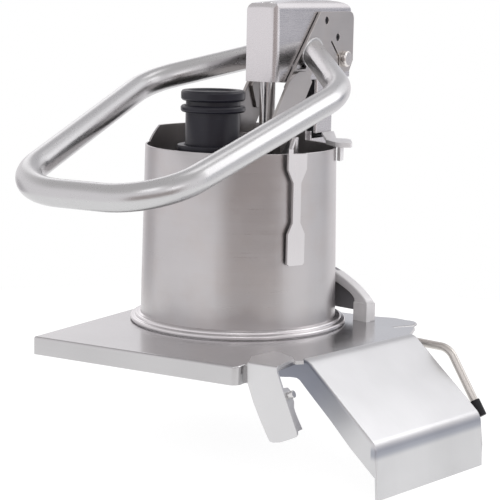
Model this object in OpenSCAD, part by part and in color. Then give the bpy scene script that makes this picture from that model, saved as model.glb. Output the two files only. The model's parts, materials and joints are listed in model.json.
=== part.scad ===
// Lever-operated pusher feed head for a vegetable preparation machine.
// Millimetres. X to the operator's right (discharge side), Y from the operator's grip to the rear, Z up.
// Origin: axis of the feed hopper, in the plane of the lid's skirt rim.

/* [Hopper] */
// Outer radius of the hopper at its rim
hopper_r_top = 95; // [90:0.5:100]
// Outer radius of the hopper at its foot
hopper_r_foot = 98.2; // [95:0.1:101]
// Height of the hopper rim
rim_z = 193.3; // [180:0.1:210]
// Height of the raised rear guard
guard_z = 208; // [200:0.5:215]
// Sheet thickness of hopper, lid and chute
sheet = 2; // [1.5:0.1:2.5]

/* [Lid] */
// Height of the lid's top face above the skirt rim
lid_z = 17.5; // [14:0.5:22]
// Outer radius of the locating spigot under the lid
spigot_r = 104; // [102:0.5:106]

/* [Chute] */
// Angle of the discharge chute to the lid's front edge
chute_turn = 12; // [0:1:20]
// Near side of the chute, measured across it
chute_a0 = -93; // [-96:1:-85]
// Far side of the chute, measured across it
chute_a1 = 70; // [60:1:75]

/* [Lever] */
// Outer diameter of the handle tube
grip_d = 25; // [20:0.5:28]
// Wall of the handle tube
grip_wall = 1.5; // [1:0.1:2.5]
// Pivot of the lever, rearwards of the hopper axis
pivot_y = 178; // [174:1:182]
// Height of the lever pivot
pivot_z = 274; // [270:1:278]
// Radius of the pivot shaft
shaft_r = 8; // [6:0.5:9]

/* [Pusher] */
// Radius of the pusher disc
disc_r = 91.5; // [88:0.5:92]
// Radius of the guide rod
rod_r = 8; // [7:0.5:8]
// Position of the guide rod behind the hopper axis
rod_y = 51; // [49:0.5:53]
// Outer radius of the small feed tube
tube_r = 30; // [29:0.5:31]
// Position of the small feed tube in front of the hopper axis
tube_y = -54; // [-55:0.5:-50]
// Radial running clearance of shafts and rods
fit = 0.05; // [0.02:0.01:0.1]
// Top of the lower column
column_z = 192; // [188:0.5:193]
// Underside of the head's leg
leg_z = 197.2; // [196.5:0.1:199]

/* [Hidden] */
$fn = 96;
e = 0.01;
steel = [0.78, 0.78, 0.79];
bright = [0.86, 0.86, 0.87];
warm = [0.72, 0.70, 0.68];
black = [0.16, 0.17, 0.21];
rubber = [0.10, 0.10, 0.11];

// point in the chute's turned frame: s out along the chute, a across it
function sa(s, a) = [s*cos(chute_turn) + a*sin(chute_turn), -s*sin(chute_turn) + a*cos(chute_turn)];
function unit(v) = v/norm(v);
function left(v) = [-v[1], v[0]];
// mitred inset of a closed counter-clockwise outline
function inset(p, d) = [for (i = [0:len(p)-1]) let (
    a = unit(p[i] - p[(i+len(p)-1)%len(p)]), b = unit(p[(i+1)%len(p)] - p[i]),
    m = unit(left(a) + left(b))) p[i] + m*d/(m*left(a))];
// mitred offset of an open run of points
function side(p, d) = [for (i = [0:len(p)-1]) let (
    a = i > 0 ? unit(p[i]-p[i-1]) : unit(p[1]-p[0]), b = i < len(p)-1 ? unit(p[i+1]-p[i]) : unit(p[i]-p[i-1]),
    m = unit(left(a)+left(b))) p[i] + m*d/(m*left(a))];
function rev(p) = [for (i = [len(p)-1:-1:0]) p[i]];
function arc(c, r, a0, a1, n) = [for (i = [0:n]) let (t = a0+(a1-a0)*i/n) [c[0]+r*cos(t), c[1]+r*sin(t)]];

// profile drawn in Y-Z, running along X from x0 to x1
module yz(x0, x1) { translate([x0,0,0]) rotate([90,0,90]) linear_extrude(x1-x0) children(); }
// profile drawn in X-Z, running along Y from y0 to y1
module xz(y0, y1) { translate([0,y1,0]) rotate([90,0,0]) linear_extrude(y1-y0) children(); }
module rod_x(y, z, r, x0, x1) { translate([x0,y,z]) rotate([0,90,0]) cylinder(r=r, h=x1-x0); }
module rrect(x0, x1, y0, y1, r) {
  translate([x0+r,y0]) square([x1-x0-2*r, y1-y0]);
  translate([x0,y0+r]) square([x1-x0, y1-y0-2*r]);
  for (x = [x0+r, x1-r], y = [y0+r, y1-r]) translate([x,y]) circle(r);
}
// round bar or tube along a filleted run of points in the local XY plane
module bent(p, rr, r, ri=0) {
  n = len(p);
  dir = [for (i = [0:n-2]) unit(p[i+1]-p[i])];
  ang = [for (i = [0:n-2]) atan2(dir[i][1], dir[i][0])];
  turn = [for (i = [0:n-3]) let (d = ang[i+1]-ang[i]) d > 180 ? d-360 : d < -180 ? d+360 : d];
  cut = [for (i = [0:n-3]) rr[i]*tan(abs(turn[i])/2)];
  for (i = [0:n-2]) {
    a = i == 0 ? 0 : cut[i-1] - 0.6;
    b = i == n-2 ? 0 : cut[i] - 0.6;
    s = p[i] + dir[i]*a;
    // each straight is a hair slimmer than the bends and runs a little way into them
    translate([s[0], s[1], 0]) rotate([0,0,ang[i]]) rotate([0,90,0]) difference() {
      cylinder(r=r-0.06, h=norm(p[i+1]-p[i])-a-b);
      if (ri > 0) translate([0,0,-1]) cylinder(r=ri+0.06, h=norm(p[i+1]-p[i])-a-b+2);
    }
  }
  for (i = [0:n-3]) {
    s = p[i+1] - dir[i]*cut[i];
    k = turn[i] > 0 ? 1 : -1;
    c = s + left(dir[i])*rr[i]*k;
    translate([c[0], c[1], 0]) rotate([0,0,ang[i] - 90*k + (k < 0 ? turn[i] : 0)])
      rotate_extrude(angle=abs(turn[i])) translate([rr[i],0]) difference() { circle(r); if (ri > 0) circle(ri); }
  }
}
function wall_r(z) = hopper_r_foot - (z-19.5)*(hopper_r_foot-hopper_r_top)/(rim_z-19.5);

// ---------- lid, chute and hopper ----------
lid_pts = concat(
  [[-113.5,-187]], arc([102,-179], 8, -90, 0, 6), [[110,-172],[141,-172],[141,-136],[147,-131]],
  [sa(166,chute_a0), sa(166,chute_a1), [169,60],[164.5,69],[150.4,52.3],[149.4,53.1],[162,71.5]],
  arc([148,80], 13, 0, 100, 6), [[130,96],[107,90],[63.2,90]], arc([0,0], 110, 55, 72, 4), [[16.2,164]], arc([-26,138], 26, 90, 135, 3), [[-113.5,89]]);
module lid_pan() color(steel) difference() {
  linear_extrude(lid_z) polygon(lid_pts);
  translate([0,0,-1]) linear_extrude(lid_z-sheet+1) polygon(inset(lid_pts, sheet));
  translate([0,0,-1]) cylinder(r=93, h=40);
  // chute mouth, plain rear tab and the shallow skirt beside the catch plate
  rotate([0,0,-chute_turn]) translate([140,chute_a0+sheet,-1]) cube([40, chute_a1-chute_a0-2*sheet, lid_z-sheet+1]);
  rotate([0,0,-chute_turn]) translate([150,chute_a0-0.2,-1]) cube([30, chute_a1-chute_a0+0.4, lid_z-sheet+1]);
  translate([98,38,-1]) cube([90, 70, lid_z-sheet+1]);
  translate([112.5,-180,-1]) cube([60, 48, 8.5]);
  translate([138.5,-167,-1]) cube([12, 43.5, 15.2]);
}
fold = concat([[166,17.5],[167.6,17.5],[170.2,16.9],[172.4,16],[174.8,14.5],[177.6,12.2]], arc([236.4,-55.47], 16, 51.3, 4, 8));
ramp = concat(fold, [[255.2,-95.8]]);
near_edge = [[175.5,-13.1],[163.2,-2.8],[159.5,-1.2],[156,-1.3],[151,-1.7],[145,-2.8],[128,-5],[128,15.5],[166,15.5]];
far_edge = [[175.5,-13.1],[163.2,-2.4],[158,0.5],[150,2],[150,15.5],[166,15.5]];
module discharge_chute() color(bright) rotate([0,0,-chute_turn]) {
  xz(chute_a0, chute_a1) polygon(concat(ramp, rev(side(ramp, -sheet))));
  xz(chute_a0, chute_a0+sheet) polygon(concat(fold, [[253.8,-75],[251.1,-75],[223.3,-53.6],[199.5,-32.6]], near_edge));
  xz(chute_a1-sheet, chute_a1) polygon(concat(fold, [[253.8,-75],[251.1,-75],[223.3,-53.6],[199.5,-32.6]], far_edge));
}
module hopper_wall() color(steel) difference() {
  rotate_extrude() polygon([[hopper_r_foot,19.5],[wall_r(guard_z),guard_z],[wall_r(guard_z)-sheet,guard_z],[hopper_r_foot-sheet,19.5]]);
  // everything above the rim outside the rear guard
  translate([0,0,rim_z]) linear_extrude(30) polygon(concat([[0,0]], arc([0,0], 150, 197.5, 435, 12)));
  // slanted start of the guard
  rotate([0,0,190.5]) translate([60,0,0]) rotate([90,0,90]) linear_extrude(60)
    polygon([[-16,guard_z+5],[-11.5,guard_z+e],[13.5,rim_z],[40,rim_z],[40,guard_z+5]]);
}
module hopper_flange() color(bright) rotate_extrude() polygon(concat([[hopper_r_foot-sheet,17.5],[106.4,17.5],[106.4,18.5],[108.4,18.5]],
  arc([106.4,19.9], 2, 0, 115, 6), arc([101.4,22.4], 2.3, -5, 110, 7),
  [[hopper_r_foot+0.3,25.1],[wall_r(25.4),25.4],[wall_r(19.5),19.5],[hopper_r_foot-sheet,19.5]]));
module locating_spigot() color(bright) rotate_extrude() polygon([[spigot_r-5,-4],[spigot_r-0.8,-4],[spigot_r,-3.2],[spigot_r,12],
  [spigot_r-2.5,12],[spigot_r-2.5,lid_z-sheet],[spigot_r-5,lid_z-sheet]]);
module lid_seal() color(rubber) translate([0,0,12.6]) difference() {
  cylinder(r=spigot_r+2, h=lid_z-sheet-12.6);
  translate([0,0,-1]) cylinder(r=spigot_r-2.5, h=5);
}
module catch_plate() color(bright) {
  translate([0,0,lid_z]) linear_extrude(2.5) polygon([[113.5,-172],[143.4,-172],[141,-139],[137,-134],[119,-122.5],[111,-122.5],[104.5,-152]]);
  xz(-174.5,-172) polygon([[113.5,20],[113.9,9],[114.7,-0.6],[120.2,-15.3],[127.7,-30.6],[136,-46],[138.2,-48.8],[141.5,-49.2],[148.5,-47.9],
    [158.5,-43.6],[164,-40.8],[165.2,-39],[165,-36],[147.1,6.7],[143.9,15.3],[143.4,20]]);
  translate([147.1,-172,6.7]) rotate([0,-22.7,0]) yz(-2.4, 0.1)
    polygon([[-0.5,-6],[7,-7],[9.5,-10],[9.5,-21],[6.4,-25.5],[6,-29],[6.4,-35],[7.4,-41],[8.4,-46],[-0.5,-46]]);
}
module catch_pin() color(bright) translate([147.1,-172,6.7]) rotate([0,-22.7,0]) rod_x(3.7, -13.9, 3.5, 0.1, 6);

// ---------- column and head ----------
module hopper_column() color(steel) {
  translate([0,0,lid_z]) linear_extrude(column_z-lid_z) difference() { rrect(-16,16,119,162,4); rrect(-13,13,122,159,2); }
  // upright lip at the front of the column's head
  translate([2,115.5,170]) cube([14,3,30]);
  translate([2,118,170]) cube([14,2,18]);
}
module column_saddles() color(warm) difference() {
  for (z = [60, 140]) translate([-11,90,z]) cube([22,29,26]);
  rotate_extrude() polygon([[0,0],[wall_r(0),0],[wall_r(guard_z),guard_z],[0,guard_z]]);
}
module side_brace() color(steel) difference() {
  translate([116.2,57.43,0]) rotate([0,0,165]) {
    xz(-11.4,0) polygon([[0,lid_z],[0,36.8],[1.7,39.6],[4.5,42.2],[8.6,45.2],[14.2,49.1],[19.7,52.4],[26.6,56],[33.6,59.2],[42,62.7],[51.8,65.6],[62,67.5],[84,69],
      [84,57],[66,56.6],[52,54.6],[40.9,51.7],[35.3,49.4],[29.7,47.1],[24.1,44.3],[20,41.3],[18,39],[16.5,36.7],[16.2,lid_z]]);
    xz(-12.2,0.8) translate([-0.8,lid_z]) square([17.8,18.6]);
    xz(-9,-6.5) polygon([[16,lid_z],[19,lid_z],[19.5,25],[21,26.3],[30,26.2],[50,25.9],[84,26],[84,58],[52,56],[40.9,53.5],[35,51.4],[29.7,49],[24,46.2],[20,43.4],[15,38]]);
  }
  rotate_extrude() polygon([[0,0],[wall_r(0),0],[wall_r(guard_z),guard_z],[0,guard_z]]);
}
module rim_bracket() color(bright) {
  // arm from the leg to the rim, tab over the rim, block hooked down outside the wall
  translate([0,0,leg_z-3]) linear_extrude(3) polygon([[13,146],[13,162],[20,162],[68,76],[60,69]]);
  translate([0,0,leg_z-3]) linear_extrude(4.8) polygon([[60,69],[66,72.5],[79,76],[87,69.5],[103,41],[103.4,37.5],[100,34.2],[93,32.4],[88.5,33],[79.3,41.2],[68,52]]);
  translate([0,0,rim_z-13]) linear_extrude(leg_z-2-rim_z+13) polygon([[88.3,37.8],[92.8,35.6],[91.2,46.2],[86.7,48.3]]);
}
module head_leg() color(warm) translate([0,0,leg_z]) linear_extrude(254-leg_z) difference() {
  rrect(-17.5,17.5,125.3,162,2.5);
  translate([-14.5,110]) square([29,49]);
}
module column_pin() color(rubber) translate([0,147.5,140]) { cylinder(r=11.4, h=114); translate([0,0,column_z-140]) cylinder(r=12.8, h=3); }
module head_frame() color(warm) difference() {
  union() {
    translate([-15.4,39,254]) cube([30.8,158,6]);
    yz(-15.4,15.4) polygon([[40,259],[40,318],[66,318],[66,262],[69,262],[69,259]]);
    yz(-12,12) polygon([[68,259],[68,268],[120,268],[150,292],[196,292],[196,259]]);
    rod_x(pivot_y, pivot_z, 14.5, -15.4, 15.4);
  }
  translate([0,rod_y,200]) cylinder(r=rod_r+3, h=130);
  rod_x(pivot_y, pivot_z, shaft_r+3, -20, 20);
  for (y = [84, 190]) translate([0,y,250]) cylinder(r=2.5, h=9);
  // front right upright corner rounded to sit inside the cover's fold
  translate([0,0,250]) linear_extrude(75) difference() { translate([8.4,37]) square([8,9]); translate([8.4,46]) circle(6.9); }
}
crown = [[37,250],[37,327],[38.6,330.2],[41.5,332.4],[60,333.8],[80,334.9],[100,335.7],[120,336.2],[140,336.3],[160,335.7],[176,334.6],[188,333],[194,331.4],[197.6,329],[199,325.5],[199,250]];
module cover_form(t) intersection() {
  // right front upright edge folded to a large radius, the others small
  translate([0,0,240]) linear_extrude(110) difference() {
    translate([-17.5+t,36+t]) square([35-2*t,164-2*t]);
    translate([17.5-t,37+t]) difference() { translate([-7,-2]) square([8,9]); translate([-7,7]) circle(7); }
  }
  xz(36,200) polygon(concat([[-17.5+t,240],[17.5-t,240]], arc([6.5,325], 11-t, 0, 90, 10), arc([-6.5,325], 11-t, 90, 180, 10)));
  yz(-30,30) polygon(t > 0 ? inset(rev(crown), t) : crown);
}
module head_cover() color(steel) difference() {
  intersection() { cover_form(0); translate([-30,30,254]) cube([60,180,90]); }
  intersection() { cover_form(sheet); translate([-30,30,240]) cube([60,180,100]); }
  rod_x(pivot_y, pivot_z, shaft_r+4, -20, 20);
  translate([0,rod_y,300]) cylinder(r=rod_r+0.4, h=50);
}
module cover_screws() color(bright) for (y = [84, 190]) translate([0,y,0]) { translate([0,0,251.5]) cylinder(r=4.5, h=2.5); translate([0,0,254]) cylinder(r=2.5, h=5); }
module pivot_bushes() color([0.75,0.62,0.32]) for (k = [0,1]) mirror([k,0,0]) difference() {
  union() { rod_x(pivot_y, pivot_z, shaft_r+3, 2, 15.4); rod_x(pivot_y, pivot_z, shaft_r+3.9, 15.4, 17.9); }
  rod_x(pivot_y, pivot_z, shaft_r+fit, 0, 20);
}
module lock_sleeve() color(warm) rotate([0,0,-chute_turn]) difference() {
  translate([124,75.5,1]) cube([26,13,lid_z-sheet-1]);
  translate([120,82,7.3]) rotate([0,90,0]) cylinder(r=4+fit, h=40);
}

// ---------- lever ----------
loop_pts = [[-17,398.5],[-112.2,281.6],[-79.2,0],[79.2,0],[112.2,281.6],[17,398.5]];
module handle_loop() color(bright) difference() {
  translate([0,-270,169.7]) rotate([16.72,0,0]) bent(loop_pts, [72,64,64,72], grip_d/2, grip_d/2-grip_wall);
  translate([-21.3,60,240]) cube([42.6,90,80]);
}
module lever_plate() yz(18.3, 21.3) difference() {
  union() {
    polygon([[123,324],[57.5,255.5],[52,249],[62,226],[73,225],[101,252],[107,262],[116,266],[158,266],[168,260],[191,260],[199.5,272],[199.5,316],[191.5,324]]);
    translate([191.5,316]) circle(8);
    translate([pivot_y,pivot_z]) circle(15);
  }
  translate([pivot_y,pivot_z]) circle(shaft_r);
  for (c = plate_holes) translate(c) circle(4);
  // window below the tube weld and the relief slit
  polygon([[74,266],[92,266],[95,270],[90,277],[80,276],[73,269.5]]);
  polygon([[167.2,255],[167.2,277.4],[149.4,294.2],[147.6,292.2],[164.8,276.2],[164.8,255]]);
  polygon([[191.5,324],[200,324],[200,316],[199.5,316],[199.3,318],[197,322],[193,323.8]]);
}
plate_holes = [[137,315],[163,297]];
module plate_screws() color(rubber) for (k = [0,1], c = plate_holes) mirror([k,0,0]) difference() {
  rod_x(c[0], c[1], 3.98, 18.4, 20.3);
  rod_x(c[0], c[1], 1.8, 19.3, 21, $fn=6);
}
module lever_plate_right() color(warm) lever_plate();
module lever_plate_left() color(warm) mirror([1,0,0]) lever_plate();
module push_arm() yz(21.3, 24.8) difference() {
  polygon(concat([[52,254],[64,261.5],[73,264],[86,264],[94.5,260.5],[101,252.5],[82.5,230],[60,201]], rev(arc([25,188], 12, 172, 314, 10)), [[17,212]]));
  translate([25,188]) circle(6);
}
module push_arm_right() color(warm) push_arm();
module push_arm_left() color(warm) mirror([1,0,0]) push_arm();
module pivot_shaft() color(bright) rod_x(pivot_y, pivot_z, shaft_r, -21.3, 21.3);
module shaft_caps() color(bright) for (k = [0,1]) mirror([k,0,0]) {
  rod_x(pivot_y, pivot_z, 8.5, 21.3, 26);
  translate([26,pivot_y,pivot_z]) rotate([0,90,0]) cylinder(r1=8.5, r2=7, h=1.2);
}
module drive_pin() color(bright) rod_x(25, 188, 6, -24.8, 24.8);
module pin_washers() color(bright) for (k = [0,1]) mirror([k,0,0]) rod_x(25, 188, 8, 24.8, 26.4);
module drive_rollers() color([0.85,0.85,0.82]) for (k = [0,1]) mirror([k,0,0]) difference() { rod_x(25, 188, 8, 6.6, 13.4); rod_x(25, 188, 6, 0, 20); }

// ---------- pusher ----------
module pusher_disc() color(black) difference() {
  translate([0,0,20]) cylinder(r=disc_r, h=8);
  translate([0,tube_y,10]) cylinder(r=tube_r, h=30);
}
module feed_tube() color(black) difference() {
  union() { translate([0,tube_y,20]) cylinder(r=tube_r, h=175); translate([0,tube_y,191]) cylinder(r=34, h=6.5); }
  translate([0,tube_y,23.5]) cylinder(r=27.6, h=200);
  translate([0,tube_y,10]) cylinder(r=24.5, h=40);
}
module guide_rod() color(bright) { translate([0,rod_y,31]) cylinder(r=rod_r, h=301.3); translate([0,rod_y,332.3]) cylinder(r1=rod_r, r2=rod_r-1.2, h=1.2); }
module rod_set_screws() color(rubber) for (z = [48, 74]) translate([0,rod_y+rod_r+0.2,z]) rotate([-90,0,0]) difference() { cylinder(r=2.5, h=6.8); translate([0,0,3.5]) cylinder(r=1.4, h=5, $fn=6); }
module pusher_mast() color(steel) difference() {
  union() {
    translate([-21,-14,28]) cube([42,84,3]);
    for (x = [-12, 8]) yz(x, x+4) polygon([[-12,31],[66,31],[66,90],[35,96],[35,203],[-12,203]]);
    translate([-8,-12,31]) cube([16,3,172]);
    translate([0,rod_y,31]) cylinder(r=15, h=60);
  }
  translate([0,rod_y,20]) cylinder(r=rod_r+0.02, h=90);
  for (z = [48, 74]) translate([0,rod_y+4,z]) rotate([-90,0,0]) cylinder(r=2.52, h=20);
  // horizontal slots for the drive rollers, open to the rear
  yz(-30,30) { translate([2,177.6]) square([60,19.4]); translate([2.2,187.3]) circle(r=9.7); }
  for (x = [-17,17], y = [-9,64]) translate([x,y,20]) cylinder(r=2.5, h=20);
}
module rod_bush() color([0.9,0.9,0.86]) translate([0,rod_y,255]) difference() { cylinder(r=rod_r+2.98, h=63); translate([0,0,-1]) cylinder(r=rod_r+fit, h=70); }
module mast_screws() color(bright) for (x = [-17,17], y = [-9,64]) translate([x,y,28]) { cylinder(r=2.5, h=3); translate([0,0,3]) cylinder(r=4.2, h=3.2); }
module magnet_strap() color(bright) {
  rotate([0,0,-27.5]) {
    yz(99.3, 102.3) polygon([[-10.5,198.5],[-10.5,179],[-4.4,166],[-4.4,128],[-9.6,117],[-9.6,89],[-7.6,87],[7.6,87],[9.6,89],[9.6,117],[4.4,128],[4.4,166],[10.5,179],[10.5,193.8],[-5.3,193.8],[-5.3,198.5]]);
    // round bar over the rim to the upright rod
    translate([100.8,-8,196.1]) rotate([0,0,143.1]) rotate([0,84,0]) cylinder(r=2.3, h=60);
  }
  translate([60,0,28]) cylinder(r=4.5, h=176.5);
  translate([60,0,28]) cylinder(r=9, h=3);
}
module strap_magnet() color(rubber) rotate([0,0,-27.5]) translate([97.9,-7,92]) cube([1.4,14,22]);
module plunger_body() color(black) difference() {
  union() {
    translate([0,tube_y,24]) cylinder(r=26.5, h=205);
    translate([0,tube_y,229]) rotate_extrude() polygon([[0,0],[29.8,0],[31.3,1.6],[31.3,4.8],[29.8,6.5],[0,6.5]]);
    translate([0,tube_y,235]) cylinder(r=26.3, h=5);
  }
  translate([0,tube_y,20]) cylinder(r=23.5, h=205);
}
module plunger_cap() color(black) translate([0,tube_y,240]) rotate_extrude() polygon([[0,0],[29.4,0],[31,1.8],[31,8],[29.6,10],[25,10],[23,8],[0,8]]);

// ---------- lid lock ----------
module lock_rod() color(warm) rotate([0,0,-chute_turn]) translate([0,82,0]) rotate([90,0,0]) bent([[110,7.3],[203,7.3],[242,-50.2]], [18], 4);
module lock_rod_tip() color(rubber) rotate([0,0,-chute_turn]) translate([242,82,-50.2]) rotate([0,145.85,0]) difference() {
  translate([0,0,-13.5]) cylinder(r=5.2, h=16.5);
  translate([0,0,-20]) cylinder(r=4, h=20);
}
module lock_collar() color(bright) rotate([0,0,-chute_turn]) translate([118.5,82,7.3]) rotate([0,90,0]) difference() { cylinder(r=7, h=5); translate([0,0,-1]) cylinder(r=4, h=8); }
module lock_cam() color(warm) rotate([0,0,-chute_turn]) translate([113,82,7.3]) difference() {
  yz(0, 5) polygon(concat(arc([0,0], 7, -30, 215, 14), [[-5,-15],[-12,-16],[-12,-20],[-2,-22],[6,-18]]));
  translate([-1,0,0]) rotate([0,90,0]) cylinder(r=4, h=8);
}

lid_pan();
discharge_chute();
hopper_wall();
hopper_flange();
locating_spigot();
lid_seal();
catch_plate();
catch_pin();
hopper_column();
column_saddles();
side_brace();
rim_bracket();
head_leg();
column_pin();
head_frame();
head_cover();
cover_screws();
pivot_bushes();
guide_rod();
rod_set_screws();
lock_sleeve();
handle_loop();
lever_plate_left();
lever_plate_right();
push_arm_left();
push_arm_right();
pivot_shaft();
shaft_caps();
drive_pin();
drive_rollers();
pin_washers();
plate_screws();
pusher_disc();
feed_tube();
pusher_mast();
rod_bush();
mast_screws();
magnet_strap();
strap_magnet();
plunger_body();
plunger_cap();
lock_rod();
lock_rod_tip();
lock_collar();
lock_cam();
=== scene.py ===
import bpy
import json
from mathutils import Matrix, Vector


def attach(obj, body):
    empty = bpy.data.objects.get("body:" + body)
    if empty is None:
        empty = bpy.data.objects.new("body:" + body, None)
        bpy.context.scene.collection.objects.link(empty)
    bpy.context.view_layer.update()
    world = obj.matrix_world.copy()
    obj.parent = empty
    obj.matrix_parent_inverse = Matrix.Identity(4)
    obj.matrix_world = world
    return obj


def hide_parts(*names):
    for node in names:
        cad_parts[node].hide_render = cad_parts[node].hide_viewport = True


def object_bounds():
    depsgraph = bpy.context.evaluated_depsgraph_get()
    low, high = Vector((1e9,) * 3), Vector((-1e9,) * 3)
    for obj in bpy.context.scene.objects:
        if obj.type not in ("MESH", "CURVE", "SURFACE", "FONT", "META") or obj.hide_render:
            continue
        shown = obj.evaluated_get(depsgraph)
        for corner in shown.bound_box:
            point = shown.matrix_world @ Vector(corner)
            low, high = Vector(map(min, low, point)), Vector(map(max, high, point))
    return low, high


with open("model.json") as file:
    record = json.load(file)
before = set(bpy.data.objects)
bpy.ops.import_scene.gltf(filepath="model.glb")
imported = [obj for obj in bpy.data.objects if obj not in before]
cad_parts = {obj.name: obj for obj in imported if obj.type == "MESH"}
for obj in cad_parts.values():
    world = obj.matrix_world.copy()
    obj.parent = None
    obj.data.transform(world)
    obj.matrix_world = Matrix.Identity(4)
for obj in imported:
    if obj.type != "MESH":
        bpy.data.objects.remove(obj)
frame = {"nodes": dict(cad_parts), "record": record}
CAD_BOX = [[float(c) for c in p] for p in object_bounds()]

import bpy, bmesh, math, json, random
from mathutils import Vector, Matrix
from mathutils.bvhtree import BVHTree

scene = bpy.context.scene
BODY = {n: b for b, ns in frame["record"]["behaviour"]["bodies"].items() for n in ns}
SLOT = {s["node"]: s["material_slot"] for s in frame["record"]["subparts"]}
TURN = math.radians(12)
S_DIR = Vector((math.cos(TURN), -math.sin(TURN), 0))
A_DIR = Vector((math.sin(TURN), math.cos(TURN), 0))


# ---------------------------------------------------------------- materials
def nodes_of(name):
    m = bpy.data.materials.new(name)
    m.use_nodes = True
    nt = m.node_tree
    return m, nt, nt.nodes, nt.links, nt.nodes["Principled BSDF"]


def noise(ns, lk, vec, scale, detail=4.0, rough=0.55):
    n = ns.new("ShaderNodeTexNoise")
    n.inputs["Scale"].default_value = scale
    n.inputs["Detail"].default_value = detail
    n.inputs["Roughness"].default_value = rough
    lk.new(vec, n.inputs["Vector"])
    return n.outputs["Fac"]


def ramp(ns, lk, fac, stops):
    r = ns.new("ShaderNodeValToRGB")
    el = r.color_ramp.elements
    while len(el) < len(stops):
        el.new(0.5)
    for e, (p, c) in zip(el, stops):
        e.position = p
        e.color = (c[0], c[1], c[2], 1) if hasattr(c, "__len__") else (c, c, c, 1)
    lk.new(fac, r.inputs["Fac"])
    return r.outputs["Color"]


def math_node(ns, lk, op, a, b=None, clamp=False):
    n = ns.new("ShaderNodeMath")
    n.operation = op
    n.use_clamp = clamp
    for i, x in enumerate((a, b)):
        if x is None:
            continue
        if isinstance(x, (int, float)):
            n.inputs[i].default_value = x
        else:
            lk.new(x, n.inputs[i])
    return n.outputs[0]


def mapped(ns, lk, scale, rot=(0, 0, 0), loc=(0, 0, 0)):
    tc = ns.new("ShaderNodeTexCoord")
    mp = ns.new("ShaderNodeMapping")
    mp.inputs["Scale"].default_value = scale
    mp.inputs["Rotation"].default_value = rot
    mp.inputs["Location"].default_value = loc
    lk.new(tc.outputs["Object"], mp.inputs["Vector"])
    return mp.outputs["Vector"]


def mix(ns, lk, kind, fac, a, b):
    n = ns.new("ShaderNodeMix")
    n.data_type = "RGBA"
    n.blend_type = kind
    for k, x in (("Factor", fac), ("A", a), ("B", b)):
        if isinstance(x, (int, float)):
            n.inputs[k].default_value = x
        elif isinstance(x, tuple):
            n.inputs[k].default_value = x
        else:
            lk.new(x, n.inputs[k])
    return n.outputs["Result"]


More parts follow.
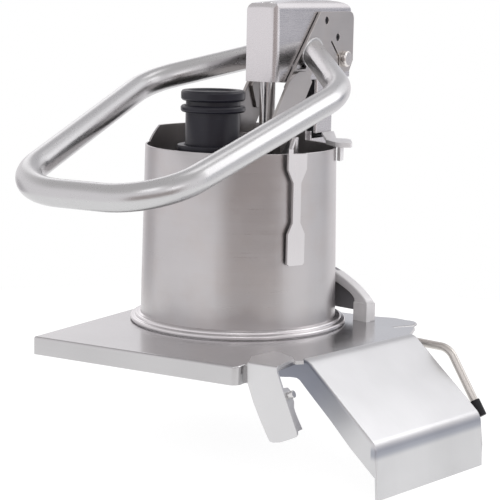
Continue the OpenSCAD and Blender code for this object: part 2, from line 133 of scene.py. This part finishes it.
def steel(name, base, rough, grain=(1, 1, 1), rot=(0, 0, 0), bump=0.06, spread=0.035, fine=1.0, blotch=0.03,
          heat=0.0, handling=0.05, contrast=0.03, metal=1.0, shade=None, bend_shade=None):
    """Satin stainless: fine brushed grain in bump, roughness and tone, soft clouding, faint warm staining
    and smeared handling marks in the roughness; where asked, painted shade on one face and a painted dark band along
    one fold."""
    m, nt, ns, lk, bs = nodes_of(name)
    bs.inputs["Metallic"].default_value = metal
    g_v = mapped(ns, lk, tuple(g * 900 * fine for g in grain), rot)
    w_v = mapped(ns, lk, tuple(g * 160 * fine for g in grain), rot, (3.1, 1.7, 0.4))
    o_v = mapped(ns, lk, (1, 1, 1))
    grain_f = noise(ns, lk, g_v, 1.0, 5.0, 0.6)
    wide_f = noise(ns, lk, w_v, 1.0, 3.0, 0.5)
    cloud = noise(ns, lk, o_v, 11.0, 3.0, 0.5)
    stain = noise(ns, lk, o_v, 27.0, 4.0, 0.6)
    smear = noise(ns, lk, o_v, 55.0, 5.0, 0.65)
    b = Vector(base)
    col = ramp(ns, lk, cloud, [(0.33, [b[i] * (1 - blotch) for i in range(3)]), (0.67, [min(1, b[i] * (1 + blotch)) for i in range(3)])])
    lines = ramp(ns, lk, grain_f, [(0.25, 1.0 - contrast), (0.75, 1.0)])
    col = mix(ns, lk, "MULTIPLY", 1.0, col, lines)
    band = ramp(ns, lk, wide_f, [(0.3, 1.0 - 0.6 * contrast), (0.7, 1.0)])
    col = mix(ns, lk, "MULTIPLY", 1.0, col, band)
    if heat > 0:
        warm = ramp(ns, lk, stain, [(0.45, 0.0), (0.72, heat)])
        col = mix(ns, lk, "MULTIPLY", warm, col, (0.93, 0.85, 0.80, 1))
    if shade:
        # painted shade: one face is darkened to a dull blue-grey, fading along its length, standing in for the shade
        # and dark reflections that fall there
        (ax, lim), (along, s0, s1), shade_colour = shade

        def reach(vec, a, b):
            d = ns.new("ShaderNodeVectorMath")
            d.operation = "DOT_PRODUCT"
            lk.new(o_v, d.inputs[0])
            d.inputs[1].default_value = vec
            mr = ns.new("ShaderNodeMapRange")
            mr.interpolation_type = "SMOOTHSTEP"
            mr.inputs["From Min"].default_value = a
            mr.inputs["From Max"].default_value = b
            lk.new(d.outputs["Value"], mr.inputs["Value"])
            return mr.outputs["Result"]
        face = reach(ax, lim, lim - 0.0012)
        fade = reach(along, s1, s0)
        col = mix(ns, lk, "MIX", math_node(ns, lk, "MULTIPLY", face, fade), col, shade_colour)
    if bend_shade:
        # painted shade: a darker band along one fold, a window in height past one place along the sheet, standing in
        # for the fold's shading and dark reflection
        (z0, z1, z2, z3), (along, s0), shade_colour = bend_shade

        def step(vec, a, b):
            d = ns.new("ShaderNodeVectorMath")
            d.operation = "DOT_PRODUCT"
            lk.new(o_v, d.inputs[0])
            d.inputs[1].default_value = vec
            mr = ns.new("ShaderNodeMapRange")
            mr.interpolation_type = "SMOOTHSTEP"
            mr.inputs["From Min"].default_value = a
            mr.inputs["From Max"].default_value = b
            lk.new(d.outputs["Value"], mr.inputs["Value"])
            return mr.outputs["Result"]
        window = math_node(ns, lk, "MULTIPLY", step((0, 0, 1), z0, z1), step((0, 0, -1), -z3, -z2))
        window = math_node(ns, lk, "MULTIPLY", window, step(along, s0, s0 + 0.002))
        col = mix(ns, lk, "MULTIPLY", window, col, shade_colour)
    lk.new(col, bs.inputs["Base Color"])
    r1 = ramp(ns, lk, grain_f, [(0.25, rough - spread), (0.75, rough + spread)])
    r2 = ramp(ns, lk, smear, [(0.48, 0.0), (0.75, handling)])
    lk.new(math_node(ns, lk, "ADD", r1, r2), bs.inputs["Roughness"])
    bp = ns.new("ShaderNodeBump")
    bp.inputs["Strength"].default_value = bump
    bp.inputs["Distance"].default_value = 0.0001
    lk.new(grain_f, bp.inputs["Height"])
    lk.new(bp.outputs["Normal"], bs.inputs["Normal"])
    return m


def plastic(name, base, rough, grain=1400.0, bump=0.12, scuff=0.03, spec=0.4, turned=False):
    """Moulded plastic: fine texture, faint flow clouding, lighter scuffs, turned rings where asked."""
    m, nt, ns, lk, bs = nodes_of(name)
    bs.inputs["Specular IOR Level"].default_value = spec
    v = mapped(ns, lk, (1, 1, 1))
    grainf = noise(ns, lk, v, grain, 3.0, 0.6)
    cloud = noise(ns, lk, v, 22.0, 4.0, 0.55)
    scr = noise(ns, lk, mapped(ns, lk, (45, 45, 900)), 1.0, 5.0, 0.7)
    b = Vector(base)
    col = ramp(ns, lk, cloud, [(0.3, [c * 0.85 for c in b]), (0.7, [min(1, c * 1.15) for c in b])])
    worn = ramp(ns, lk, scr, [(0.60, 0.0), (0.80, 0.8)])
    col = mix(ns, lk, "MIX", worn, col, (min(1, b[0] + scuff), min(1, b[1] + scuff), min(1, b[2] + scuff), 1))
    lk.new(col, bs.inputs["Base Color"])
    rr = ramp(ns, lk, cloud, [(0.3, rough - 0.05), (0.7, rough + 0.05)])
    r2 = ramp(ns, lk, scr, [(0.55, 0.0), (0.8, 0.10)])
    lk.new(math_node(ns, lk, "ADD", rr, r2), bs.inputs["Roughness"])
    bp = ns.new("ShaderNodeBump")
    bp.inputs["Strength"].default_value = bump
    bp.inputs["Distance"].default_value = 0.0001
    lk.new(mix(ns, lk, "MIX", 0.4 if turned else 0.0, grainf, scr), bp.inputs["Height"])
    lk.new(bp.outputs["Normal"], bs.inputs["Normal"])
    return m


MAT = {
    "steel_lid": steel("m_lid", (0.535, 0.529, 0.534), 0.20, (0.02, 1, 1), fine=1.6, bump=0.05),
    "steel_chute": steel("m_chute", (0.600, 0.600, 0.608), 0.33, (0.02, 1, 0.02), (0, 0, TURN), bump=0.012, fine=3.0, handling=0.03, contrast=0.012, spread=0.02, blotch=0.055,
                         # painted shade: the chute's near side wall darkened blue-grey towards its top, for the shade
                         # and dark reflections under the lid
                         shade=((tuple(A_DIR), -0.0915), (tuple((S_DIR * 0.8 - Vector((0, 0, 0.6))).normalized()), 0.140, 0.222), (0.24, 0.25, 0.29, 1)),
                         # painted shade: a blue-grey band along the chute's lower fold
                         bend_shade=((-0.0615, -0.0545, -0.0525, -0.0455), (tuple(S_DIR), 0.2455), (0.58, 0.60, 0.66, 1))),
    "steel_hopper": steel("m_hopper", (0.540, 0.526, 0.529), 0.30, (0.012, 0.012, 1), blotch=0.035, heat=0.30, contrast=0.024),
    "steel_cover": steel("m_cover", (0.672, 0.654, 0.664), 0.27, (1, 0.02, 1), bump=0.03, fine=2.5, handling=0.02, contrast=0.02),
    "steel_brace": steel("m_brace", (0.80, 0.793, 0.80), 0.40, (0.7, 0.7, 0.7), bump=0.12, blotch=0.05, contrast=0.04, fine=1.8, metal=0.25,
                         # painted shade: the brace's recessed web and back faces darkened low down, for the shade in
                         # the recess
                         shade=(((-0.2588, -0.9659, 0.0), -0.0900), ((0.9659, -0.2588, 1.0), 0.1144, 0.1174), (0.25, 0.245, 0.26, 1))),
    "steel_handle": steel("m_handle", (0.570, 0.569, 0.573), 0.28, (0.6, 0.6, 0.6), bump=0.02, spread=0.015, blotch=0.02, handling=0.03, contrast=0.012),
    "steel_rod": steel("m_rod", (0.640, 0.610, 0.575), 0.30, (0.6, 0.6, 0.6), bump=0.04, spread=0.02, blotch=0.03),
    "steel_plate": steel("m_plate", (0.510, 0.488, 0.478), 0.32, (1, 0.03, 1), blotch=0.05, heat=0.30, fine=1.6),
    "steel_strap": steel("m_strap", (0.715, 0.705, 0.709), 0.29, (1, 1, 0.02)),
    "steel_polished": steel("m_polished", (0.66, 0.655, 0.655), 0.16, (1, 1, 0.1), bump=0.02, spread=0.02, handling=0.02, contrast=0.015),
    "steel_dark": steel("m_dark", (0.045, 0.045, 0.050), 0.42, (1, 1, 1)),
    "bush_bronze": steel("m_bronze", (0.58, 0.40, 0.20), 0.40, (1, 1, 1)),
    "plastic_black": plastic("m_black", (0.0105, 0.0102, 0.0172), 0.31, turned=True),
    "plastic_white": plastic("m_white", (0.78, 0.78, 0.74), 0.42, scuff=0.0),
    "catch": steel("m_catch", (0.660, 0.658, 0.664), 0.30, (0.02, 1, 0.02), bump=0.012, fine=2.2, handling=0.02),
    "caps": steel("m_caps", (0.75, 0.72, 0.70), 0.24, (1, 1, 1), bump=0.02, spread=0.02),
    "ring": steel("m_ring", (0.700, 0.680, 0.688), 0.24, (0.02, 0.02, 1), bump=0.03, fine=1.5, handling=0.02),
    "rubber_black": plastic("m_rubber", (0.012, 0.012, 0.014), 0.60, bump=0.3, spec=0.3),
}


# ---------------------------------------------------------------- pieces
def finish_piece(o, node_names, slot, body, look=None):
    o.data.materials.clear()
    o.data.materials.append(MAT[look or slot])
    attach(o, body)
    if node_names:
        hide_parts(*node_names)
    return o


def link(me, name):
    o = bpy.data.objects.new(name, me)
    scene.collection.objects.link(o)
    return o


def node_bm(node):
    """The node's solid as clean polygons: split corners joined, flat faces merged."""
    src = frame["nodes"][node].data
    me = bpy.data.meshes.new("tmp")
    me.from_pydata([v.co[:] for v in src.vertices], [], [list(p.vertices) for p in src.polygons])
    bm = bmesh.new()
    bm.from_mesh(me)
    bpy.data.meshes.remove(me)
    bmesh.ops.remove_doubles(bm, verts=bm.verts, dist=2e-6)
    bmesh.ops.dissolve_limit(bm, angle_limit=math.radians(0.4), verts=bm.verts, edges=bm.edges)
    return bm


def sharp_edges(bm, deg):
    lim = math.radians(deg)
    return [e for e in bm.edges if len(e.link_faces) == 2 and e.calc_face_angle(0.0) > lim]


def shade(bm, name):
    """Flat faces keep their own normal; bends start tangent to them; everything else is area weighted."""
    flat = bm.faces.layers.int["flat"]
    bm.normal_update()
    area = {f: f.calc_area() for f in bm.faces}
    loops = []
    for f in bm.faces:
        for lp in f.loops:
            if f[flat] == 1:
                loops.append(f.normal.copy())
                continue
            best, acc = None, Vector()
            for g in lp.vert.link_faces:
                d = g.normal.dot(f.normal)
                if g[flat] == 1 and d > 0.60 and (best is None or d > best[0]):
                    best = (d, g.normal.copy())
                if d > 0.80:
                    acc += g.normal * area[g]
            loops.append(best[1] if best else (acc.normalized() if acc.length > 0 else f.normal.copy()))
    me = bpy.data.meshes.new(name)
    bm.to_mesh(me)
    bm.free()
    for p in me.polygons:
        p.use_smooth = True
    me.normals_split_custom_set([n[:] for n in loops])
    return me


def rounded(node, width, big=(), segs=3, angle=31):
    """The node with its edges broken to a small radius, as a deburred or folded edge has.
    big lists (test, radius, steps) for the bends that have a radius of their own."""
    bm = node_bm(node)
    flat = bm.faces.layers.int.new("flat")
    lo_a, hi_a = math.radians(0.4), math.radians(angle)
    for f in bm.faces:
        f[flat] = 1 if all(len(e.link_faces) != 2 or not (lo_a < e.calc_face_angle(0.0) <= hi_a) for e in f.edges) else 0
    for test, w, n in big:
        es = [e for e in sharp_edges(bm, angle) if test((e.verts[0].co + e.verts[1].co) / 2, e.link_faces[0].normal, e.link_faces[1].normal)]
        if es:
            r = bmesh.ops.bevel(bm, geom=es, offset=w, offset_type="OFFSET", segments=n, profile=0.5, affect="EDGES", clamp_overlap=False)
            for f in r["faces"]:
                f[flat] = 0
    es = sharp_edges(bm, angle)
    if es and width > 0:
        r = bmesh.ops.bevel(bm, geom=es, offset=width, offset_type="OFFSET", segments=segs, profile=0.5, affect="EDGES", clamp_overlap=True)
        for f in r["faces"]:
            f[flat] = 0
    bmesh.ops.remove_doubles(bm, verts=bm.verts, dist=1e-6)
    if node in ("discharge_chute", "side_brace"):
        # slivers of a few micrometres left where bevels meet are closed up
        bmesh.ops.dissolve_degenerate(bm, dist=4e-6, edges=bm.edges)
        gaps = [e for e in bm.edges if len(e.link_faces) == 1]
        if gaps:
            for f in bmesh.ops.holes_fill(bm, edges=gaps, sides=0)["faces"]:
                f[flat] = 0
    me = shade(bm, "v_" + node)
    return finish_piece(link(me, "v_" + node), [node], SLOT[node], BODY[node], LOOK.get(node))



# bends with a radius of their own: (test on middle and the two face normals, radius, steps)
def up_and_out(z, tol=0.0004):
    return lambda c, a, b: abs(c.z - z) < tol and max(a.z, b.z) > 0.95 and min(abs(a.z), abs(b.z)) < 0.2


def chute_side(c, a, b):
    """Edges where the ramp folds into its side walls."""
    x, y = (a, b) if abs(a.dot(A_DIR)) > 0.95 else (b, a)
    ac = c.dot(A_DIR) * 1000
    return abs(x.dot(A_DIR)) > 0.95 and abs(y.dot(A_DIR)) < 0.1 and (y.z > 0.05 or y.dot(S_DIR) > 0.3) and (ac < -92.9 or ac > 69.9) and c.dot(S_DIR) > 0.1665


BIG = {
    "lid_pan": [(lambda c, a, b: up_and_out(0.0175)(c, a, b) and c.dot(S_DIR) < 0.1655 and c.xy.length > 0.1, 0.0021, 5)],
    "discharge_chute": [(chute_side, 0.0024, 5)],
    "catch_plate": [(lambda c, a, b: up_and_out(0.020)(c, a, b) and c.y < -0.1735, 0.0019, 5)],
    "side_brace": [(lambda c, a, b: c.z > 0.0375 and max(abs(a.z), abs(b.z)) > 0.12, 0.0016, 4)],
}
EDGE = {
    "lid_pan": 0.0006, "discharge_chute": 0.0004, "hopper_wall": 0.0005, "hopper_flange": 0.0003, "locating_spigot": 0.0006,
    "lid_seal": 0.0004, "catch_plate": 0.0005, "catch_pin": 0.0005, "hopper_column": 0.0005, "column_saddles": 0.0006,
    "side_brace": 0.0004, "rim_bracket": 0.0006, "head_leg": 0.0005, "column_pin": 0.0005, "head_frame": 0.0006,
    "head_cover": 0.0005, "cover_screws": 0.0003, "pivot_bushes": 0.0003, "guide_rod": 0.0004, "rod_set_screws": 0.0002,
    "lock_sleeve": 0.0006, "lever_plate_left": 0.0004, "lever_plate_right": 0.0004, "push_arm_left": 0.0005,
    "push_arm_right": 0.0005, "pivot_shaft": 0.0003, "shaft_caps": 0.0004, "drive_pin": 0.0003, "drive_rollers": 0.0004,
    "pin_washers": 0.0003, "pusher_disc": 0.0010, "feed_tube": 0.0006, "pusher_mast": 0.0006, "rod_bush": 0.0003,
    "mast_screws": 0.0004, "magnet_strap": 0.0005, "strap_magnet": 0.0002, "plunger_body": 0.0006, "plunger_cap": 0.0006,
    "lock_rod_tip": 0.0010, "lock_collar": 0.0004, "lock_cam": 0.0005,
}
LOOK = {"hopper_flange": "ring", "catch_plate": "catch", "shaft_caps": "caps"}
SWEPT = ("handle_loop", "lock_rod")
for n in frame["nodes"]:
    if n not in SWEPT:
        rounded(n, EDGE.get(n, 0.0005), BIG.get(n, ()))


# ---------------------------------------------------------------- bent tube and rod, swept in one run
def fillet(pts, radii, step=2.0):
    """A run of points with rounded corners, as (point, tangent) pairs."""
    out = [(pts[0], (pts[1] - pts[0]).normalized())]
    for i in range(1, len(pts) - 1):
        a, b = (pts[i] - pts[i - 1]).normalized(), (pts[i + 1] - pts[i]).normalized()
        th = a.angle(b)
        cut = radii[i - 1] * math.tan(th / 2)
        ax = a.cross(b).normalized()
        s = pts[i] - a * cut
        c = s + ax.cross(a).normalized() * radii[i - 1]
        n = max(8, int(math.degrees(th) / step))
        for k in range(n + 1):
            q = Matrix.Rotation(th * k / n, 3, ax)
            out.append((c + q @ (s - c), q @ a))
    out.append((pts[-1], (pts[-1] - pts[-2]).normalized()))
    return out


def sweep(name, run, up, r, ri=0.0, sides=64, cut_x=None, chamfer=0.0):
    """Round tube (or bar when ri is 0) along the run; ends cut square, or flush with the planes x = -+cut_x."""
    bm = bmesh.new()
    flat = bm.faces.layers.int.new("flat")

    def ring(p, t, rad, cut=None):
        side = up.cross(t).normalized()
        u2 = t.cross(side).normalized()
        vs = []
        for k in range(sides):
            an = 2 * math.pi * k / sides
            q = p + (side * math.cos(an) + u2 * math.sin(an)) * rad
            if cut is not None:
                q = q + t * ((cut - q.x) / t.x)
            vs.append(bm.verts.new(q))
        return vs

    first = -cut_x if cut_x else None
    last = cut_x if cut_x else None
    rings_o, rings_i = [], []
    for i, (p, t) in enumerate(run):
        c = first if i == 0 else last if i == len(run) - 1 else None
        if ri == 0 and i in (0, len(run) - 1) and chamfer > 0:
            rings_o.append(ring(p, t, r - chamfer))
            rings_o.append(ring(p + t * (chamfer if i == 0 else -chamfer), t, r))
            if i > 0:
                rings_o[-1], rings_o[-2] = rings_o[-2], rings_o[-1]
            continue
        rings_o.append(ring(p, t, r, c))
        if ri > 0:
            rings_i.append(ring(p, t, ri, c))
    for rg, inv in ((rings_o, False), (rings_i, True)):
        for a, b in zip(rg, rg[1:]):
            for k in range(sides):
                q = [a[k], a[(k + 1) % sides], b[(k + 1) % sides], b[k]]
                bm.faces.new(q[::-1] if inv else q)
    if ri > 0:
        for a, b, inv in ((rings_o[0], rings_i[0], True), (rings_o[-1], rings_i[-1], False)):
            for k in range(sides):
                q = [a[k], a[(k + 1) % sides], b[(k + 1) % sides], b[k]]
                f = bm.faces.new(q[::-1] if inv else q)
                f[flat] = 1
    else:
        for rg, inv in ((rings_o[0], True), (rings_o[-1], False)):
            f = bm.faces.new(rg[::-1] if inv else rg)
            f[flat] = 1
    bmesh.ops.recalc_face_normals(bm, faces=bm.faces)
    return shade(bm, name)


tilt = Matrix.Rotation(math.radians(16.72), 4, "X")
to_loop = Matrix.Translation((0, -0.270, 0.1697)) @ tilt
loop = [to_loop @ Vector((x / 1000, y / 1000, 0)) for x, y in
        [(-17, 398.5), (-112.2, 281.6), (-79.2, 0), (79.2, 0), (112.2, 281.6), (17, 398.5)]]
loop_run = fillet(loop, [0.072, 0.064, 0.064, 0.072], 1.5)
loop_up = (tilt @ Vector((0, 0, 1))).normalized()
me = sweep("v_handle_loop", loop_run, loop_up, 0.0125, 0.011, cut_x=0.0213)
finish_piece(link(me, "v_handle_loop"), ["handle_loop"], "steel_handle", "lever")

to_lock = Matrix.Rotation(-TURN, 4, "Z") @ Matrix.Translation((0, 0.082, 0)) @ Matrix.Rotation(math.radians(90), 4, "X")
lock = [to_lock @ Vector((x / 1000, y / 1000, 0)) for x, y in [(110, 7.3), (203, 7.3), (242, -50.2)]]
me = sweep("v_lock_rod", fillet(lock, [0.018], 2.0), A_DIR, 0.004, 0.0, sides=40, chamfer=0.0005)
finish_piece(link(me, "v_lock_rod"), ["lock_rod"], "steel_rod", "lock_lever")


# ---------------------------------------------------------------- weld beads
def bead(name, path, r, body, slot, closed=True, seed=3, ripple=0.18, pitch=0.0022, sides=10):
    """A weld bead along a path of points: half-sunk round section with the small ripples of the pool."""
    rnd = random.Random(seed)
    bm = bmesh.new()
    flat = bm.faces.layers.int.new("flat")
    n = len(path)
    s = 0.0
    rings = []
    for i, p in enumerate(path):
        a = path[(i - 1) % n] if closed or i > 0 else p
        b = path[(i + 1) % n] if closed or i < n - 1 else p
        t = (b - a).normalized()
        s += (p - a).length
        k = r * (1.0 + ripple * math.sin(2 * math.pi * s / pitch) * 0.5 + rnd.uniform(-0.05, 0.05))
        if not closed and (i == 0 or i == n - 1):
            k *= 0.35
        x = t.orthogonal().normalized()
        y = t.cross(x)
        if rings:
            ref = last_x - t * last_x.dot(t)
            x = ref.normalized()
            y = t.cross(x)
        last_x = x
        rings.append([bm.verts.new(p + (x * math.cos(2 * math.pi * j / sides) + y * math.sin(2 * math.pi * j / sides)) * k) for j in range(sides)])
    m = len(rings)
    if closed:
        # turn the closing ring to match the first one
        d = [(rings[-1][0].co - v.co).length for v in rings[0]]
        off = d.index(min(d))
    for i in range(m if closed else m - 1):
        a, b = rings[i], rings[(i + 1) % m]
        o = off if closed and i == m - 1 else 0
        for j in range(sides):
            bm.faces.new((a[j], a[(j + 1) % sides], b[(j + 1 + o) % sides], b[(j + o) % sides]))
    if not closed:
        bm.faces.new(rings[0][::-1])
        bm.faces.new(rings[-1])
    bmesh.ops.recalc_face_normals(bm, faces=bm.faces)
    me = shade(bm, name)
    return finish_piece(link(me, name), [], slot, body)


for side in (1, -1):
    # where the tube meets the plate: its round section cut by the plate's plane
    p, t = loop_run[-1] if side > 0 else loop_run[0]
    sd = loop_up.cross(t).normalized()
    u2 = t.cross(sd).normalized()
    ell = []
    for k in range(110):
        an = 2 * math.pi * k / 110
        q = p + (sd * math.cos(an) + u2 * math.sin(an)) * 0.0130
        q = q + t * ((side * 0.0217 - q.x) / t.x)
        ell.append(q)
    bead("weld_tube_right" if side > 0 else "weld_tube_left", ell, 0.0014, "lever", "steel_handle", seed=5 + side)

# ---------------------------------------------------------------- floor, light, camera
def area(name, direction, dist, size, radiance, colour=(1, 1, 1), size_y=None, target=(0, 0, 0.12)):
    l = bpy.data.lights.new(name, "AREA")
    l.shape = "RECTANGLE"
    l.size = size
    l.size_y = size_y or size
    l.energy = radiance * math.pi * l.size * l.size_y
    l.color = colour
    o = bpy.data.objects.new(name, l)
    t = Vector(target)
    o.location = t + Vector(direction).normalized() * dist
    o.rotation_euler = (t - o.location).to_track_quat("-Z", "Y").to_euler()
    o.visible_camera = False
    scene.collection.objects.link(o)
    return o


lo, hi = CAD_BOX
bm = bmesh.new()
bmesh.ops.create_circle(bm, cap_ends=True, segments=160, radius=0.85)
me = bpy.data.meshes.new("floor")
bm.to_mesh(me)
bm.free()
floor = link(me, "floor")
floor.location = (0.02, -0.05, lo[2] - 0.0004)
fm, fnt, fns, flk, fbs = nodes_of("m_floor")
fbs.inputs["Base Color"].default_value = (0.22, 0.22, 0.22, 1)
fbs.inputs["Roughness"].default_value = 0.9
fbs.inputs["Emission Color"].default_value = (1, 1, 1, 1)
fbs.inputs["Emission Strength"].default_value = 0.88
floor.data.materials.append(fm)

world = bpy.data.worlds.new("studio")
scene.world = world
world.use_nodes = True
wt = world.node_tree
wn, wl = wt.nodes, wt.links
wn.clear()
out = wn.new("ShaderNodeOutputWorld")
bg_env = wn.new("ShaderNodeBackground")
bg_cam = wn.new("ShaderNodeBackground")
bg_cam.inputs["Color"].default_value = (1, 1, 1, 1)
bg_cam.inputs["Strength"].default_value = 1.0
tc = wn.new("ShaderNodeTexCoord")
dirv = tc.outputs["Generated"]


def dot(vec):
    n = wn.new("ShaderNodeVectorMath")
    n.operation = "DOT_PRODUCT"
    wl.new(dirv, n.inputs[0])
    n.inputs[1].default_value = vec
    return n.outputs["Value"]


def soft(fac, a, b):
    """0 below a, 1 above b, smooth between."""
    n = wn.new("ShaderNodeMapRange")
    n.interpolation_type = "SMOOTHSTEP"
    n.inputs["From Min"].default_value = a
    n.inputs["From Max"].default_value = b
    wl.new(fac, n.inputs["Value"])
    return n.outputs["Result"]


def unit(az, el):
    a, e = math.radians(az), math.radians(el)
    return (math.cos(e) * math.cos(a), math.cos(e) * math.sin(a), math.sin(e))


def cosd(d):
    return math.cos(math.radians(d))


height = dot((0, 0, 1))
# walls of the studio: bright low down, dimmer towards the ceiling
wall = mix(wn, wl, "MIX", soft(height, math.sin(math.radians(22)), math.sin(math.radians(52))), (1.0, 0.975, 0.995, 1), (0.66, 0.645, 0.65, 1))
# the side the photographer stands on is a dim warm room
room = math_node(wn, wl, "MULTIPLY", soft(dot(unit(-43, -6)), cosd(44), cosd(27)), math_node(wn, wl, "SUBTRACT", 1.0, soft(height, math.sin(math.radians(2)), math.sin(math.radians(14)))))
wall = mix(wn, wl, "MIX", room, wall, (0.40, 0.345, 0.335, 1))
# low and far on the right the studio is darker and cooler, and so is the strip at the machine's height
low = soft(dot(unit(40, 2)), cosd(17), cosd(7))
wall = mix(wn, wl, "MIX", low, wall, (0.82, 0.82, 0.85, 1))
under = soft(dot(unit(58, -18)), cosd(16), cosd(8))
wall = mix(wn, wl, "MIX", under, wall, (0.86, 0.85, 0.87, 1))
strip = soft(dot(unit(62, 4)), cosd(13), cosd(5))
wall = mix(wn, wl, "MIX", strip, wall, (0.34, 0.35, 0.40, 1))
# a white screen behind on the left, and a doorway beside it
back = soft(dot(unit(104, 40)), cosd(26), cosd(12))
wall = mix(wn, wl, "MIX", back, wall, (0.70, 0.69, 0.71, 1))
high = soft(dot(unit(68, 33)), cosd(22), cosd(12))
wall = mix(wn, wl, "MIX", high, wall, (1.20, 1.19, 1.21, 1))
rear = soft(dot(unit(113, 10)), cosd(12), cosd(5))
wall = mix(wn, wl, "MIX", rear, wall, (0.78, 0.79, 0.84, 1))
screen = soft(dot(unit(135, 25)), cosd(13), cosd(6))
wall = mix(wn, wl, "MIX", screen, wall, (1.6, 1.58, 1.6, 1))
door = soft(dot(unit(167, -9)), cosd(20), cosd(8))
wall = mix(wn, wl, "MIX", door, wall, (0.60, 0.58, 0.60, 1))
wl.new(wall, bg_env.inputs["Color"])
bg_env.inputs["Strength"].default_value = 1.0
lp = wn.new("ShaderNodeLightPath")
ms = wn.new("ShaderNodeMixShader")
wl.new(lp.outputs["Is Camera Ray"], ms.inputs["Fac"])
wl.new(bg_env.outputs["Background"], ms.inputs[1])
wl.new(bg_cam.outputs["Background"], ms.inputs[2])
wl.new(ms.outputs["Shader"], out.inputs["Surface"])

area("softbox_key", (0.61, 0.51, 0.42), 0.90, 0.40, 1.36, (1, 1, 1), 0.68, (0.05, -0.10, 0.28))
area("softbox_top", unit(72, 70), 2.2, 0.7, 1.1, (1, 1, 1), 0.6)
area("softbox_front", unit(-58, 40), 3.0, 1.0, 1.5, (1, 1, 1), 0.7)
area("softbox_right", unit(-26, 20), 1.9, 0.55, 0.9, (1, 0.995, 0.99), 0.45)

cam = bpy.data.cameras.new("camera")
cam.sensor_width = 36.0
cam.lens = 1650.0 / 500.0 * 36.0
cam.clip_start = 0.05
cam.clip_end = 40
co = bpy.data.objects.new("camera", cam)
scene.collection.objects.link(co)
v = Vector((-0.49544, 0.85393, -0.15919)).normalized()
r = Vector((0.86325, 0.50442, 0.01920))
r = (r - v * r.dot(v)).normalized()
u = r.cross(v)
M = Matrix(((r[0], u[0], -v[0], 0.83086), (r[1], u[1], -v[1], -1.40995), (r[2], u[2], -v[2], 0.35120), (0, 0, 0, 1)))
co.matrix_world = M
scene.camera = co
scene.view_settings.view_transform = "Standard"
